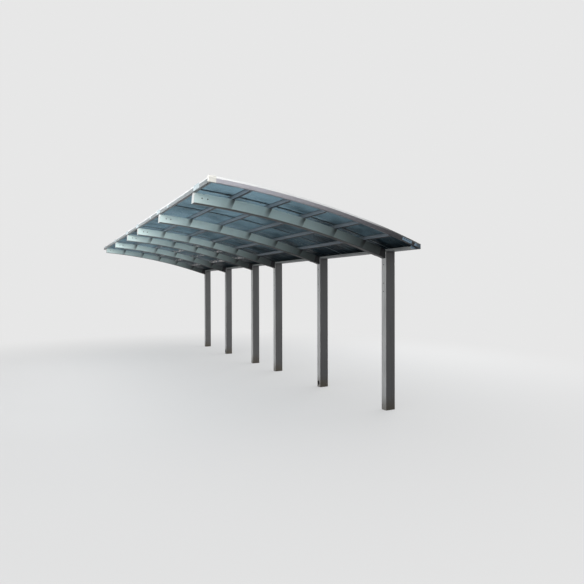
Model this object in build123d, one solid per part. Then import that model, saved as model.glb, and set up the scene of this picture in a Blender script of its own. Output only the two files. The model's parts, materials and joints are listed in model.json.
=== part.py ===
from build123d import *
import math
import os

# Open carport on one row of posts. Curved beams reach forward from the posts and carry purlins,
# arched clear sheets, an eave profile in front, a gutter at the back and an edge profile on each gable.
# Origin: centre of the first post's foot. X runs from the open front to the back of the posts,
# Y along the row from the near gable to the far one, Z up. Millimetres and degrees.

# Length of the row
MODULE_COUNT = 2
MODULE_LENGTH = 4950.0
MODULE_GAP = 0.4
POSTS_PER_MODULE = 3
POST_OVERHANG = 618.75
BARS_PER_MODULE = 4
BAR_OVERHANG = 618.75

# Posts
POST_HEIGHT = 2310.0
POST_DEPTH = 170.0
POST_WIDTH = 110.0
POST_CORNER = 15.0
POST_WALL = 4.0
FOOT_PLATE = 12.0

# Roof curve, measured along the top of the beams
BEAM_RADIUS = 11600.0
BEAM_RISE = 30.8
FRONT_REACH = 2920.0
FRONT_SLOPE = 4.23

# Beams
BEAM_DEPTH = 126.0
BEAM_WIDTH = 95.0
BEAM_WALL = 4.0
BEAM_SETBACK = 17.0
BEAM_REVEAL = 80.0
SHOE_INSERT = 90.0
SHOE_WALL = 6.0
CAP_PLATE = 4.0
CAP_PLUG = 18.0

# Clearance where one piece sits on, in or against another
SEAT = 0.2

# Purlins
PURLIN_COUNT = 5
LAST_STRIP = 386.0
PURLIN_WIDTH = 30.0
PURLIN_HEIGHT = 47.0
PURLIN_WALL = 2.5
PURLIN_HEAD_WIDTH = 46.0
PURLIN_HEAD = 3.0

# Clear sheets and the bars that join them
SHEET_THICKNESS = 3.0
SHEET_LAP = 12.0
SHEET_OVERHANG = 95.0
BAR_FOOT_WIDTH = 20.0
BAR_FOOT = 2.6
BAR_WEB = 6.0
BAR_CAP_WIDTH = 44.0
BAR_CAP = 3.5
SHEET_EDGE_GAP = 0.5

# Joint between two modules
JOINT_BOX_WIDTH = 44.0
JOINT_CAP_WIDTH = 64.0
JOINT_WALL = 3.0

# Gable edge profile, its base and height counted from the beam top
GABLE_WIDTH = 32.0
GABLE_BASE = 12.0
GABLE_HEIGHT = 84.0
GABLE_OVERHANG = 112.0
GABLE_WALL = 3.0
GABLE_SHOULDER_HEIGHT = 26.0
GABLE_SHOULDER_DEPTH = 14.0
GABLE_GROOVE_HEIGHT = 35.0
GABLE_GROOVE_WIDTH = 5.0
GABLE_GROOVE_DEPTH = 1.5
GABLE_SLOT_DEPTH = 18.0
SLOT_CLEARANCE = 0.3

# Eave profile
EAVE_DEPTH = 38.0
EAVE_HEIGHT = 70.0
EAVE_WALL = 3.0
EAVE_SHOULDER = 16.0
EAVE_GROOVE_HEIGHT = 30.0
EAVE_GROOVE_WIDTH = 5.0
EAVE_GROOVE_DEPTH = 1.5

# Cover plates and clips on the front of the eave
PLATE_LENGTH = 240.0
PLATE_HEIGHT = 64.0
PLATE_THICKNESS = 4.0
PLATE_CORNER = 30.0
END_PLATE_OFFSET = 165.0
CLIP_LENGTH = 60.0
CLIP_HEIGHT = 44.0
CLIP_THICKNESS = 5.0
FITTING_BASE = 3.0

# Corner pieces
CORNER_CAP_LENGTH = 88.0
CORNER_CAP_PROUD = 1.5
CORNER_CAP_BASE = 10.0
CORNER_CAP_ROUND = 10.0
CORNER_CAP_WALL = 3.0
REAR_PLATE_REACH = 187.0
REAR_PLATE_LENGTH = 155.0
REAR_PLATE_END_LENGTH = 92.0
REAR_PLATE_BASE = 20.0
REAR_PLATE_HEIGHT = 38.0
REAR_PLATE_THICKNESS = 3.0

# Gutter
GUTTER_WALL = 3.0
GUTTER_FRONT_RISE = 28.0
GUTTER_BACK_RISE = 70.0
GUTTER_LIP = 18.0
GUTTER_END = 4.0
OUTLET_RADIUS = 30.0

# Drain outlet near the foot of the middle post of a module
DRAIN_WIDTH = 40.0
DRAIN_HEIGHT = 65.0
DRAIN_BASE = 42.0
DRAIN_CORNER = 8.0
DRAIN_RIM = 5.0
DRAIN_FLANGE = 2.5
DRAIN_WALL = 2.5

# Places that follow from the sizes above
POST_FRONT = -POST_DEPTH / 2
EAVE_X = -FRONT_REACH
ARC_X = EAVE_X - BEAM_RADIUS * math.sin(math.radians(FRONT_SLOPE))
ARC_Z = POST_HEIGHT + BEAM_RISE - math.sqrt(BEAM_RADIUS**2 - (POST_FRONT - ARC_X) ** 2)
POST_PITCH = (MODULE_LENGTH - 2 * POST_OVERHANG) / (POSTS_PER_MODULE - 1)
BAR_PITCH = (MODULE_LENGTH - 2 * BAR_OVERHANG) / (BARS_PER_MODULE - 1)
NEAR_GABLE = -POST_OVERHANG
FAR_GABLE = NEAR_GABLE + MODULE_LENGTH * MODULE_COUNT
PURLIN_TOP = SEAT + PURLIN_HEIGHT
BAR_FOOT_TOP = PURLIN_TOP + SEAT + BAR_FOOT
SHEET_LOW = BAR_FOOT_TOP + SEAT
SHEET_TOP = SHEET_LOW + SHEET_THICKNESS
SLOT_LOW = SHEET_LOW - SLOT_CLEARANCE
SLOT_TOP = SHEET_TOP + SLOT_CLEARANCE
GABLE_END = POST_FRONT + GABLE_OVERHANG
BEAM_END = POST_FRONT - BEAM_REVEAL
SHEET_END = POST_FRONT + SHEET_OVERHANG
ROOF_AXIS = Axis((ARC_X, 0, ARC_Z), (0, 1, 0))


def angle_at_x(x):
    """Angle from upright, about the roof's centre, of the beam top at this X."""
    return math.degrees(math.asin((x - ARC_X) / BEAM_RADIUS))


def angle_along(distance):
    """Angle of a place this far along the beam top, counted from the front edge."""
    return FRONT_SLOPE + math.degrees(distance / BEAM_RADIUS)


def along_at_x(x):
    """Distance along the beam top from the front edge to the place with this X."""
    return math.radians(angle_at_x(x) - FRONT_SLOPE) * BEAM_RADIUS


def roof_point(angle, height):
    """X and Z of a place this high above the beam top, square to the roof."""
    radius = BEAM_RADIUS + height
    turn = math.radians(angle)
    return ARC_X + radius * math.sin(turn), ARC_Z + radius * math.cos(turn)


def level_at_x(x, height):
    """Z at this X of the roof curve that lies this high above the beam top."""
    radius = BEAM_RADIUS + height
    return ARC_Z + math.sqrt(radius**2 - (x - ARC_X) ** 2)


def arched_face(outline, angle):
    """Face from (Y, height above beam top) corners, standing at an angle of the roof."""
    corners = []
    for y, height in outline:
        x, z = roof_point(angle, height)
        corners.append((x, y, z))
    return make_face(Polyline(*corners, close=True))


def rectangle(y_low, y_high, low, high):
    """Corners of a rectangle across the roof curve."""
    return [(y_low, low), (y_high, low), (y_high, high), (y_low, high)]


def arched(outline, openings, start, end):
    """Curved bar with this section and these cut-outs in it, from one angle to another."""
    section = arched_face(outline, start)
    for opening in openings:
        section = section - arched_face(opening, start)
    return revolve(section, axis=ROOF_AXIS, revolution_arc=end - start)


def straight(outline, openings, y_low, y_high):
    """Straight bar along Y with this (X, Z) section and these cut-outs in it."""
    section = make_face(Polyline(*[(x, y_low, z) for x, z in outline], close=True))
    for opening in openings:
        section = section - make_face(Polyline(*[(x, y_low, z) for x, z in opening], close=True))
    return extrude(section, amount=y_high - y_low, dir=(0, 1, 0))


def on_roof(outline):
    """X and Z of corners given as (distance from the front edge, height above the beam top)."""
    return [roof_point(angle_along(distance), height) for distance, height in outline]


def past(x, y_low, y_high, floor, roof_height):
    """Block behind this X, from this floor up to a height above the beam top, for cutting ends."""
    far = x + POST_DEPTH
    outline = [
        (x, floor),
        (far, floor),
        (far, level_at_x(far, roof_height)),
        (x, level_at_x(x, roof_height)),
    ]
    return straight(outline, [], y_low, y_high)


def module_starts():
    return [NEAR_GABLE + MODULE_LENGTH * index for index in range(MODULE_COUNT)]


def post_places():
    places = []
    for start in module_starts():
        for index in range(POSTS_PER_MODULE):
            places.append(start + POST_OVERHANG + POST_PITCH * index)
    return places


def drained_places():
    middle = POSTS_PER_MODULE // 2
    return [start + POST_OVERHANG + POST_PITCH * middle for start in module_starts()]


def bar_places(start):
    return [start + BAR_OVERHANG + BAR_PITCH * index for index in range(BARS_PER_MODULE)]


def drain_block(width, height, corner, x_low, x_high):
    """Bar along X with cut corners, through the post's front wall."""
    middle = DRAIN_BASE + DRAIN_HEIGHT / 2
    facing = Plane((x_low, 0, middle), x_dir=(0, 1, 0), z_dir=(1, 0, 0))
    outline = chamfer(Rectangle(width, height).vertices(), corner)
    return extrude(facing * outline, amount=x_high - x_low, dir=(1, 0, 0))


def post(y, drained):
    """Rounded tube on a closed foot, open at the top under the gutter."""
    tube = extrude(RectangleRounded(POST_DEPTH, POST_WIDTH, POST_CORNER), amount=POST_HEIGHT)
    inner = Rectangle(POST_DEPTH - 2 * POST_WALL, POST_WIDTH - 2 * POST_WALL)
    inner = chamfer(inner.vertices(), POST_CORNER - POST_WALL)
    hollow = Pos(0, 0, FOOT_PLATE) * extrude(inner, amount=POST_HEIGHT - FOOT_PLATE)
    body = tube - hollow
    if drained:
        body = body - drain_block(
            DRAIN_WIDTH, DRAIN_HEIGHT, DRAIN_CORNER, POST_FRONT - POST_WALL, POST_FRONT + 2 * POST_WALL
        )
    return Pos(0, y, 0) * body


def drain_outlet(y):
    """Collar through the post's wall with a rim in front of it."""
    rim = drain_block(
        DRAIN_WIDTH + 2 * DRAIN_RIM,
        DRAIN_HEIGHT + 2 * DRAIN_RIM,
        DRAIN_CORNER + DRAIN_RIM,
        POST_FRONT - DRAIN_FLANGE - SEAT,
        POST_FRONT - SEAT,
    )
    collar_width = DRAIN_WIDTH - 2 * SEAT
    collar_height = DRAIN_HEIGHT - 2 * SEAT
    collar_end = POST_FRONT + 3 * POST_WALL
    collar = drain_block(collar_width, collar_height, DRAIN_CORNER, POST_FRONT - SEAT, collar_end)
    mouth = drain_block(
        collar_width - 2 * DRAIN_WALL,
        collar_height - 2 * DRAIN_WALL,
        DRAIN_CORNER - DRAIN_WALL,
        POST_FRONT - 2 * DRAIN_FLANGE,
        POST_FRONT + 4 * POST_WALL,
    )
    return Pos(0, y, 0) * (rim + collar - mouth)


def tube_outline(y, width, depth, inset):
    """Section of a beam-like tube, taken in by this much on every side."""
    half = width / 2 - inset
    return rectangle(y - half, y + half, -depth + inset, -inset)


def beam(y):
    outer = tube_outline(y, BEAM_WIDTH, BEAM_DEPTH, 0)
    inner = tube_outline(y, BEAM_WIDTH, BEAM_DEPTH, BEAM_WALL)
    return arched(outer, [inner], angle_along(BEAM_SETBACK), angle_at_x(BEAM_END))


def beam_end_cap(y):
    """Plate over the beam's open front end, with a plug inside the tube."""
    end = angle_along(BEAM_SETBACK)
    front = angle_along(BEAM_SETBACK - CAP_PLATE - SEAT)
    plate_back = angle_along(BEAM_SETBACK - SEAT)
    plug_back = end + math.degrees(CAP_PLUG / BEAM_RADIUS)
    plate = arched(tube_outline(y, BEAM_WIDTH, BEAM_DEPTH, 0), [], front, plate_back)
    plug = arched(tube_outline(y, BEAM_WIDTH, BEAM_DEPTH, BEAM_WALL + SEAT), [], plate_back, plug_back)
    return plate + plug


def beam_shoe(y):
    """Sleeve that comes out of the beam's rear end and stops flat on the post and gutter."""
    inset = BEAM_WALL + SEAT
    start = angle_at_x(BEAM_END) - math.degrees(SHOE_INSERT / BEAM_RADIUS)
    sleeve = arched(
        tube_outline(y, BEAM_WIDTH, BEAM_DEPTH, inset),
        [tube_outline(y, BEAM_WIDTH, BEAM_DEPTH, inset + SHOE_WALL)],
        start,
        angle_at_x(POST_FRONT + BEAM_DEPTH),
    )
    floor = POST_HEIGHT - 3 * BEAM_DEPTH
    return sleeve - past(POST_FRONT, y - BEAM_WIDTH, y + BEAM_WIDTH, floor, BEAM_DEPTH)


def module_span(start):
    """Y between the edge profiles that close a module's two sides."""
    low = start + (GABLE_WIDTH if start == NEAR_GABLE else JOINT_BOX_WIDTH / 2)
    end = start + MODULE_LENGTH
    last = abs(end - FAR_GABLE) < SEAT
    high = end - (GABLE_WIDTH if last else JOINT_BOX_WIDTH / 2)
    return low + SEAT, high - SEAT


def purlin(index, start):
    middle = (along_at_x(POST_FRONT) - LAST_STRIP) * (index + 1) / PURLIN_COUNT
    half = PURLIN_WIDTH / 2
    head = PURLIN_HEAD_WIDTH / 2
    shoulder = PURLIN_TOP - PURLIN_HEAD
    outline = [
        (middle - half, SEAT),
        (middle + half, SEAT),
        (middle + half, shoulder),
        (middle + head, shoulder),
        (middle + head, PURLIN_TOP),
        (middle - head, PURLIN_TOP),
        (middle - head, shoulder),
        (middle - half, shoulder),
    ]
    hollow_half = half - PURLIN_WALL
    hollow = [
        (middle - hollow_half, SEAT + PURLIN_WALL),
        (middle + hollow_half, SEAT + PURLIN_WALL),
        (middle + hollow_half, shoulder - PURLIN_WALL),
        (middle - hollow_half, shoulder - PURLIN_WALL),
    ]
    low, high = module_span(start)
    return straight(on_roof(outline), [on_roof(hollow)], low, high)


def gable_edge(outer_y, inward):
    """Hollow edge profile: grooved face, sloping shoulder, two chambers and a slot for the sheet."""

    def across(distance):
        return outer_y + inward * distance

    def under_shoulder(height):
        slope = GABLE_SHOULDER_DEPTH / GABLE_SHOULDER_HEIGHT
        return across(max(height - shoulder, 0) * slope + GABLE_WALL)

    shoulder = GABLE_HEIGHT - GABLE_SHOULDER_HEIGHT
    groove_low = GABLE_GROOVE_HEIGHT - GABLE_GROOVE_WIDTH / 2
    groove_high = GABLE_GROOVE_HEIGHT + GABLE_GROOVE_WIDTH / 2
    outline = [
        (across(0), GABLE_BASE),
        (across(0), groove_low),
        (across(GABLE_GROOVE_DEPTH), groove_low),
        (across(GABLE_GROOVE_DEPTH), groove_high),
        (across(0), groove_high),
        (across(0), shoulder),
        (across(GABLE_SHOULDER_DEPTH), GABLE_HEIGHT),
        (across(GABLE_WIDTH), GABLE_HEIGHT),
        (across(GABLE_WIDTH), GABLE_BASE),
    ]
    outer_wall = across(GABLE_WALL + GABLE_GROOVE_DEPTH)
    inner_wall = across(GABLE_WIDTH - GABLE_WALL)
    lower = rectangle(outer_wall, inner_wall, GABLE_BASE + GABLE_WALL, SLOT_LOW - GABLE_WALL)
    upper_floor = SLOT_TOP + GABLE_WALL
    upper_roof = GABLE_HEIGHT - GABLE_WALL
    upper = [
        (under_shoulder(upper_floor), upper_floor),
        (inner_wall, upper_floor),
        (inner_wall, upper_roof),
        (under_shoulder(upper_roof), upper_roof),
    ]
    slot_bottom = across(GABLE_WIDTH - GABLE_SLOT_DEPTH)
    slot = rectangle(slot_bottom, across(GABLE_WIDTH + GABLE_WALL), SLOT_LOW, SLOT_TOP)
    return arched(outline, [lower, upper, slot], angle_along(CORNER_CAP_LENGTH + SEAT), angle_at_x(GABLE_END))


def sheet_spans():
    """Low and high Y of each clear sheet, from the near gable to the far one."""
    edge = BAR_WEB / 2 + SHEET_EDGE_GAP
    slot_edge = GABLE_WIDTH - GABLE_SLOT_DEPTH + 2 * SHEET_EDGE_GAP
    lines = []
    for start in module_starts():
        lines.append(start)
        lines.extend(bar_places(start))
    lines.append(FAR_GABLE)
    spans = []
    for low, high in zip(lines, lines[1:]):
        low_edge = low + (slot_edge if low == NEAR_GABLE else edge)
        high_edge = high - (slot_edge if high == FAR_GABLE else edge)
        spans.append((low_edge, high_edge))
    return spans


def roof_sheet(low, high):
    outline = rectangle(low, high, SHEET_LOW, SHEET_TOP)
    return arched(outline, [], angle_along(EAVE_DEPTH - SHEET_LAP), angle_at_x(SHEET_END))


def capped_bar(y, foot_outline, cap_width):
    """Outline of a bar whose web stands between two sheets under a flat cap."""
    web = BAR_WEB / 2
    cap = cap_width / 2
    low = SHEET_TOP + SEAT
    top = low + BAR_CAP
    above = [
        (y + web, low),
        (y + cap, low),
        (y + cap, top),
        (y - cap, top),
        (y - cap, low),
        (y - web, low),
    ]
    return foot_outline + above


def glazing_bar(y):
    foot = BAR_FOOT_WIDTH / 2
    web = BAR_WEB / 2
    base = BAR_FOOT_TOP - BAR_FOOT
    foot_outline = [
        (y - web, BAR_FOOT_TOP),
        (y - foot, BAR_FOOT_TOP),
        (y - foot, base),
        (y + foot, base),
        (y + foot, BAR_FOOT_TOP),
        (y + web, BAR_FOOT_TOP),
    ]
    outline = capped_bar(y, foot_outline, BAR_CAP_WIDTH)
    return arched(outline, [], angle_along(EAVE_DEPTH + SEAT), angle_at_x(SHEET_END))


def module_joint(y):
    """Box profile between two modules, with the same web and a wider cap."""
    half = JOINT_BOX_WIDTH / 2
    web = BAR_WEB / 2
    foot_outline = [
        (y - web, BAR_FOOT_TOP),
        (y - half, BAR_FOOT_TOP),
        (y - half, SEAT),
        (y + half, SEAT),
        (y + half, BAR_FOOT_TOP),
        (y + web, BAR_FOOT_TOP),
    ]
    chamber = rectangle(
        y - half + JOINT_WALL, y + half - JOINT_WALL, SEAT + JOINT_WALL, BAR_FOOT_TOP - 2 * JOINT_WALL
    )
    outline = capped_bar(y, foot_outline, JOINT_CAP_WIDTH)
    bar = arched(outline, [chamber], angle_along(EAVE_DEPTH + SEAT), angle_at_x(SHEET_END))
    over_gutter = PURLIN_TOP + SEAT
    return bar - past(POST_FRONT - SEAT, y - 2 * half, y + 2 * half, POST_HEIGHT - SEAT, over_gutter)


def eave_profile(low, high):
    """Hollow edge on the beams' front ends: rounded top, grooved face, slot for the sheets behind."""
    groove = EAVE_GROOVE_WIDTH / 2
    outline = [
        (0, SEAT),
        (EAVE_DEPTH, SEAT),
        (EAVE_DEPTH, EAVE_HEIGHT),
        (0, EAVE_HEIGHT),
        (0, EAVE_GROOVE_HEIGHT + groove),
        (EAVE_GROOVE_DEPTH, EAVE_GROOVE_HEIGHT + groove),
        (EAVE_GROOVE_DEPTH, EAVE_GROOVE_HEIGHT - groove),
        (0, EAVE_GROOVE_HEIGHT - groove),
    ]
    front_wall = EAVE_WALL + EAVE_GROOVE_DEPTH
    back_wall = EAVE_DEPTH - EAVE_WALL
    lower = [
        (front_wall, SEAT + EAVE_WALL),
        (back_wall, SEAT + EAVE_WALL),
        (back_wall, SLOT_LOW - EAVE_WALL),
        (front_wall, SLOT_LOW - EAVE_WALL),
    ]
    slot_bottom = EAVE_DEPTH - SHEET_LAP - SHEET_EDGE_GAP
    slot = [
        (slot_bottom, SLOT_LOW),
        (EAVE_DEPTH + EAVE_WALL, SLOT_LOW),
        (EAVE_DEPTH + EAVE_WALL, SLOT_TOP),
        (slot_bottom, SLOT_TOP),
    ]
    section = make_face(Polyline(*[(x, low, z) for x, z in on_roof(outline)], close=True))
    x, z = roof_point(angle_along(0), EAVE_HEIGHT)
    shoulder = section.vertices().sort_by_distance((x, low, z))[0]
    section = fillet(shoulder, EAVE_SHOULDER)
    for opening in (lower, slot):
        section = section - make_face(Polyline(*[(x, low, z) for x, z in on_roof(opening)], close=True))
    return extrude(section, amount=high - low, dir=(0, 1, 0))


def eave_fitting(y, length, height, thickness, corner):
    """Plate that lies on the face of the eave, its two upper corners cut to this size."""
    angle = angle_along(0)
    turn = math.radians(angle)
    x, z = roof_point(angle, FITTING_BASE + height / 2)
    facing = Plane((x, y, z), x_dir=(0, -1, 0), z_dir=(-math.cos(turn), 0, math.sin(turn)))
    outline = Rectangle(length, height)
    outline = fillet(outline.vertices().sort_by(Axis.Y)[-2:], corner) if corner else outline
    return extrude(facing.offset(SEAT) * outline, amount=thickness, dir=facing.z_dir)


def cover_plate_places(posts):
    """Middle of each cover plate: the first and last stand towards their gable."""
    places = list(posts)
    places[0] -= END_PLATE_OFFSET
    places[-1] += END_PLATE_OFFSET
    return places


def front_corner_cap(outer_y, inward):
    """Moulded hollow cap on the corner where the eave and a gable edge meet."""

    def block(front, back, outer, inner, base, top):
        low_y = min(outer_y + inward * outer, outer_y + inward * inner)
        high_y = max(outer_y + inward * outer, outer_y + inward * inner)
        outline = [(front, base), (back, base), (back, top), (front, top)]
        return straight(on_roof(outline), [], low_y, high_y)

    proud = CORNER_CAP_PROUD
    wall = CORNER_CAP_WALL
    top = GABLE_HEIGHT + proud
    body = block(0, CORNER_CAP_LENGTH, -proud, GABLE_WIDTH, CORNER_CAP_BASE, top)
    outer_edges = body.edges().filter_by(Axis.Y).sort_by(Axis.X)[:2]
    body = fillet(outer_edges, CORNER_CAP_ROUND)
    past_cap = CORNER_CAP_LENGTH + wall
    cavity = block(2 * wall, past_cap, wall - proud, GABLE_WIDTH - wall, CORNER_CAP_BASE + wall, top - wall)
    slot_front = EAVE_DEPTH - SHEET_LAP - SHEET_EDGE_GAP
    slot = block(slot_front, past_cap, GABLE_WIDTH / 2, GABLE_WIDTH + wall, SLOT_LOW, SLOT_TOP)
    return body - cavity - slot


def rear_corner_plates(outer_y, inward):
    """Two flat plates on the outer face of a gable edge, one before the gutter and one beside it."""
    face_y = outer_y - inward * SEAT
    proud_y = face_y - inward * REAR_PLATE_THICKNESS
    outline = rectangle(face_y, proud_y, REAR_PLATE_BASE, REAR_PLATE_BASE + REAR_PLATE_HEIGHT)
    front = POST_FRONT - REAR_PLATE_REACH
    spans = [(front, front + REAR_PLATE_LENGTH), (GABLE_END - REAR_PLATE_END_LENGTH, GABLE_END)]
    return [arched(outline, [], angle_at_x(start), angle_at_x(end)) for start, end in spans]


def gutter_outline():
    """Open trough as deep as the posts, with a low front wall and both rims turned in."""
    back = POST_FRONT + POST_DEPTH
    floor = POST_HEIGHT
    front_top = floor + GUTTER_FRONT_RISE
    back_top = floor + GUTTER_BACK_RISE
    wall = GUTTER_WALL
    return [
        (POST_FRONT, floor),
        (back, floor),
        (back, back_top),
        (back - GUTTER_LIP, back_top),
        (back - GUTTER_LIP, back_top - wall),
        (back - wall, back_top - wall),
        (back - wall, floor + wall),
        (POST_FRONT + wall, floor + wall),
        (POST_FRONT + wall, front_top - wall),
        (POST_FRONT + GUTTER_LIP, front_top - wall),
        (POST_FRONT + GUTTER_LIP, front_top),
        (POST_FRONT, front_top),
    ]


def rear_gutter(low, high, outlet_y):
    trough = straight(gutter_outline(), [], low, high)
    outlet = Pos(0, outlet_y, POST_HEIGHT) * Cylinder(OUTLET_RADIUS, 4 * GUTTER_WALL)
    return trough - outlet


def gutter_end_cap(outer_y, inward):
    """Plate between the gutter's end and the gable edge, below the sheets and higher behind them."""
    face_y = outer_y + inward * (GABLE_WIDTH + SEAT)
    low_y = min(face_y, face_y + inward * GUTTER_END)
    back = POST_FRONT + POST_DEPTH
    step, _ = roof_point(angle_at_x(SHEET_END), GABLE_HEIGHT)
    outline = [
        (POST_FRONT, POST_HEIGHT),
        (back, POST_HEIGHT),
        (back, POST_HEIGHT + GUTTER_BACK_RISE),
        (step, POST_HEIGHT + GUTTER_BACK_RISE),
        (step, level_at_x(step, GUTTER_FRONT_RISE)),
        (POST_FRONT, level_at_x(POST_FRONT, GUTTER_FRONT_RISE)),
    ]
    return straight(outline, [], low_y, low_y + GUTTER_END)


def write(name, shape):
    export_step(shape, f"parts/{name}.step")


def write_group(name, shapes):
    write(name, Compound(children=list(shapes)))


os.makedirs("parts", exist_ok=True)
posts = post_places()
drains = drained_places()
starts = module_starts()
gables = [(NEAR_GABLE, 1), (FAR_GABLE, -1)]
end_gap = MODULE_GAP / 2
gutter_inset = GABLE_WIDTH + GUTTER_END + 2 * SEAT

for number, place in enumerate(posts, 1):
    write(f"post_{number}", post(place, place in drains))
    write(f"beam_{number}", beam(place))
write_group("beam_end_caps", [beam_end_cap(place) for place in posts])
write_group("beam_shoes", [beam_shoe(place) for place in posts])
write_group("drain_outlets", [drain_outlet(place) for place in drains])

for index in range(PURLIN_COUNT):
    write_group(f"purlin_{index + 1}", [purlin(index, start) for start in starts])

for number, (start, drain) in enumerate(zip(starts, drains), 1):
    low = start + (GABLE_WIDTH + SEAT if start == NEAR_GABLE else end_gap)
    end = start + MODULE_LENGTH
    high = end - (GABLE_WIDTH + SEAT if number == MODULE_COUNT else end_gap)
    write(f"eave_profile_{number}", eave_profile(low, high))
    gutter_low = start + (gutter_inset if start == NEAR_GABLE else end_gap)
    gutter_high = end - (gutter_inset if number == MODULE_COUNT else end_gap)
    write(f"rear_gutter_{number}", rear_gutter(gutter_low, gutter_high, drain))
    write_group(f"glazing_bars_{number}", [glazing_bar(y) for y in bar_places(start)])

write_group("module_joint", [module_joint(start) for start in starts[1:]])
write("gable_edge_near", gable_edge(NEAR_GABLE, 1))
write("gable_edge_far", gable_edge(FAR_GABLE, -1))
write_group("front_corner_caps", [front_corner_cap(y, inward) for y, inward in gables])
write_group("rear_corner_plates", [plate for y, inward in gables for plate in rear_corner_plates(y, inward)])
write_group("gutter_end_caps", [gutter_end_cap(y, inward) for y, inward in gables])

for number, (low, high) in enumerate(sheet_spans(), 1):
    write(f"roof_sheet_{number}", roof_sheet(low, high))

plates = cover_plate_places(posts)
write_group(
    "eave_cover_plates",
    [eave_fitting(y, PLATE_LENGTH, PLATE_HEIGHT, PLATE_THICKNESS, PLATE_CORNER) for y in plates],
)
bars = [y for start in starts for y in bar_places(start)]
clips = [y for y in bars if min(abs(y - place) for place in posts) > PLATE_LENGTH]
write_group("eave_clips", [eave_fitting(y, CLIP_LENGTH, CLIP_HEIGHT, CLIP_THICKNESS, 0) for y in clips])
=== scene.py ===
import json
import math

import bmesh
import bpy
from mathutils import Matrix, Vector


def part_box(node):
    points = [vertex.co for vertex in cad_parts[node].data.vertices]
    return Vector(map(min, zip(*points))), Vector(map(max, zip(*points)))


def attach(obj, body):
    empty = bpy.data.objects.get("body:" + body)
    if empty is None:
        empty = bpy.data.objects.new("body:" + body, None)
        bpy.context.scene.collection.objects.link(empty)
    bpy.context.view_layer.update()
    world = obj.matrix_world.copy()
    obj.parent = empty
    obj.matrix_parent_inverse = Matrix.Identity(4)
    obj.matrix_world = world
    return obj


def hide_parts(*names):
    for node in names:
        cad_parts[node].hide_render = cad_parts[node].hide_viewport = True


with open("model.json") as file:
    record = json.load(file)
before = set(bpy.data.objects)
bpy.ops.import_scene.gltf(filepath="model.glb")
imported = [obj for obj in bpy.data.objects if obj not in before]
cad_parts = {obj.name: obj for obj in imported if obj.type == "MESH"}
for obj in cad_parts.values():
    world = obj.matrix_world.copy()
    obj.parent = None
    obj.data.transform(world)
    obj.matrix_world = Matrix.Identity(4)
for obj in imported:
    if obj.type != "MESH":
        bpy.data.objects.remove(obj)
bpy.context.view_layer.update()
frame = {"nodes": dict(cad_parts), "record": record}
BODY = "root"

# Row of posts and its modules, read from the frame in metres
POSTS = [mount["pos_m"][1] for mount in frame["record"]["mounts"]]
MODULES = 2
NEAR_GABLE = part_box("gable_edge_near")[0].y
FAR_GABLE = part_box("gable_edge_far")[1].y
GABLES = ((NEAR_GABLE, 1), (FAR_GABLE, -1))
MODULE_LENGTH = (FAR_GABLE - NEAR_GABLE) / MODULES
MODULE_JOINT = NEAR_GABLE + MODULE_LENGTH
POSTS_PER_MODULE = len(POSTS) // MODULES
POST_PITCH = POSTS[1] - POSTS[0]
POST_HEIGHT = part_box("post_1")[1].z
POST_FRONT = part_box("post_1")[0].x

# Roof curve, measured along the top of the beams
BEAM_RADIUS = 11.6
BEAM_RISE = 0.0308
FRONT_REACH = 2.92
FRONT_SLOPE = math.radians(4.23)
ARC_X = -FRONT_REACH - BEAM_RADIUS * math.sin(FRONT_SLOPE)
ARC_Z = POST_HEIGHT + BEAM_RISE - math.sqrt(BEAM_RADIUS**2 - (POST_FRONT - ARC_X) ** 2)

# Clearance between seated pieces
SEAT = 0.0002

# Beams and purlins. The beams stand back from the eave by their setback and end before the posts
# by their reveal; the last strip is the roof between the last purlin and the posts.
BEAM_WIDTH = 0.095
BEAM_DEPTH = 0.126
BEAM_SETBACK = 0.017
BEAM_REVEAL = 0.08
PURLIN_COUNT = 5
LAST_STRIP = 0.386
PURLIN_WIDTH = 0.03
PURLIN_HEAD_WIDTH = 0.046
PURLIN_HEAD = 0.003
PURLIN_TOP = 0.0472

# Glazing bars and sheets
BARS_PER_MODULE = 4
BAR_OVERHANG = 0.61875
BAR_PITCH = (MODULE_LENGTH - 2 * BAR_OVERHANG) / (BARS_PER_MODULE - 1)
BAR_FOOT_WIDTH = 0.02
BAR_FOOT = 0.0026
BAR_FOOT_TOP = PURLIN_TOP + SEAT + BAR_FOOT
BAR_WEB = 0.006
BAR_CAP_WIDTH = 0.044
BAR_CAP = 0.0035
JOINT_BOX_WIDTH = 0.044
SHEET_COUNT = 10
SHEET_THICKNESS = 0.003
SHEET_LOW = BAR_FOOT_TOP + SEAT
SHEET_TOP = SHEET_LOW + SHEET_THICKNESS
SHEET_OVERHANG = 0.095
SHEET_LAP = 0.012

# Gable edges and eave, with their slots for the sheets and their fine grooves
GABLE_WIDTH = 0.032
GABLE_BASE = 0.012
GABLE_HEIGHT = 0.084
GABLE_SHOULDER_HEIGHT = 0.026
GABLE_SHOULDER_DEPTH = 0.014
GABLE_SLOT_DEPTH = 0.018
GABLE_START = 0.0882
GABLE_OVERHANG = 0.112
GABLE_RIBS = 6
EAVE_DEPTH = 0.038
EAVE_HEIGHT = 0.07
EAVE_SHOULDER = 0.016
EAVE_RIBS = 4
EAVE_RIB_START = 0.7
SLOT_CLEARANCE = 0.0003
SLOT_LOW = SHEET_LOW - SLOT_CLEARANCE
SLOT_TOP = SHEET_TOP + SLOT_CLEARANCE
GROOVE_WIDTH = 0.003
GROOVE_DEPTH = 0.0015

# Rubber seals
SEAL_WIDTH = 0.006
SEAL_HEIGHT = 0.004
SEAL_LIP = 0.002
BAR_SEAL_WIDTH = 0.002
SEAL_LEVELS = (SHEET_LOW - SEAL_HEIGHT, SHEET_TOP)

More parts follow.
